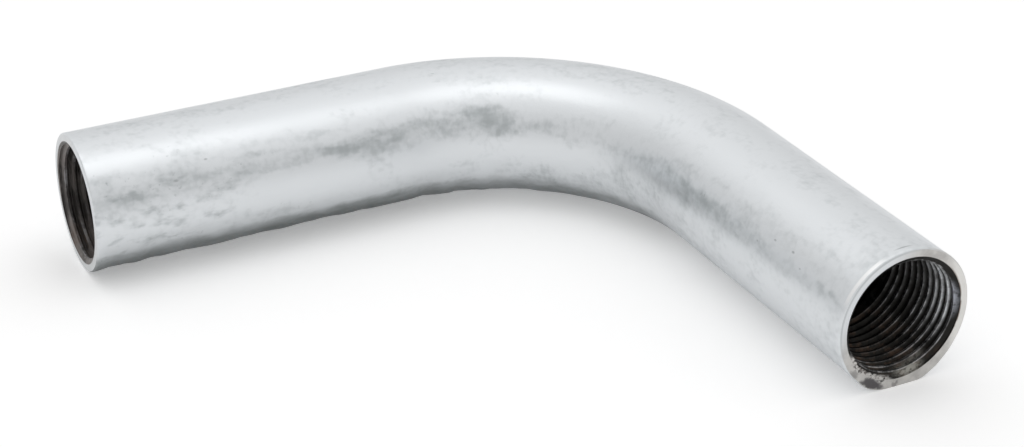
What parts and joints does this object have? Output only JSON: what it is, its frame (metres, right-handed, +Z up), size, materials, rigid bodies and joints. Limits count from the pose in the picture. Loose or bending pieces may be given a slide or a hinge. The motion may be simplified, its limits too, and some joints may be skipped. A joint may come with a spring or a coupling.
{
  "type": "conduit bend",
  "caption": "Quarter bend of galvanised steel conduit tube, with straight legs of unequal length and a female thread cut into each mouth.",
  "frame": {"origin": "on the surface that the bend lies on, under the middle of its box", "axes": "the bend lies flat: +Z up, the longer leg points along -X, the shorter leg along -Y, both level at half the tube's diameter"},
  "size_m": [0.1078, 0.102, 0.0228],
  "materials": {
    "galvanised_steel": "dull grey cloudy zinc with a soft bright sheen; darker oily steel in the thread"
  },
  "bodies": {
    "root": {"conduit_bend": "galvanised_steel"}
  },
  "joints": []
}
